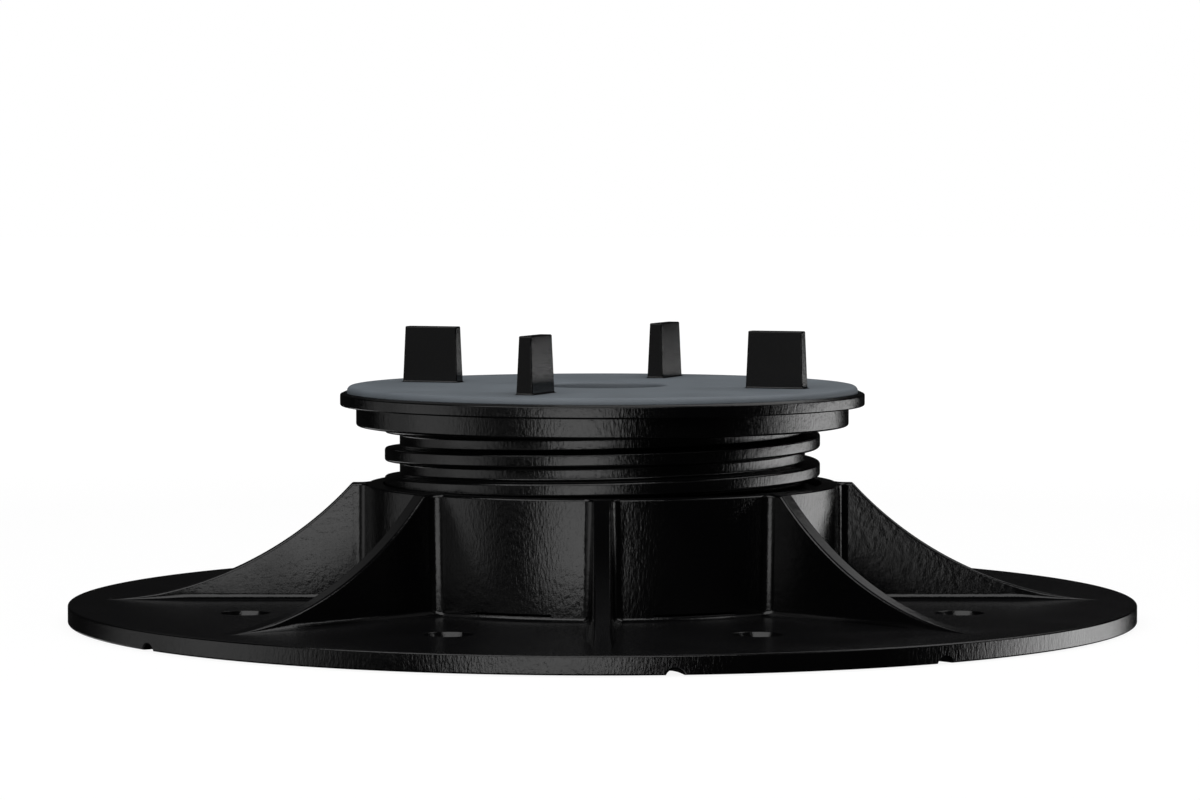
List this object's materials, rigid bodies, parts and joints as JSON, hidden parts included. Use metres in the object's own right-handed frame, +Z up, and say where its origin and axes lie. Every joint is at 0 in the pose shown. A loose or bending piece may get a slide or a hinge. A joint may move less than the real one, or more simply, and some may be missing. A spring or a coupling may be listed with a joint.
{
  "type": "decking pedestal",
  "caption": "Height-adjustable decking pedestal: a ribbed round foot, a coarse screw sleeve and a round cap with a rubber pad and upright tile spacer lugs.",
  "frame": {"origin": "centre of the foot plate's underside", "axes": "+Z up along the screw's axis, +X along one of the buttress ribs"},
  "size_m": [0.2, 0.2, 0.0543],
  "materials": {
    "foot_plastic": "black, finely grained moulding",
    "screw_plastic": "black, finely grained moulding",
    "cap_plastic": "black, finely grained moulding",
    "pad_rubber": "smooth blue-grey rubber"
  },
  "bodies": {
    "foot": {"base": "foot_plastic"},
    "head": {"cap": "cap_plastic", "pad": "pad_rubber"},
    "sleeve": {"screw": "screw_plastic"}
  },
  "joints": [
    {"name": "height", "type": "slide", "parent": "foot", "child": "head", "axis": [0, 0, 1], "range_m": [-0.0105, 0.004]},
    {"name": "screw_turn", "type": "hinge", "parent": "head", "child": "sleeve", "pos_m": [0, 0, 0], "axis": [0, 0, 1], "range_deg": [-715, 270]}
  ],
  "couplings": [
    {"joint": "height", "follows": "screw_turn", "m_per_rad": 0.00084034}
  ]
}
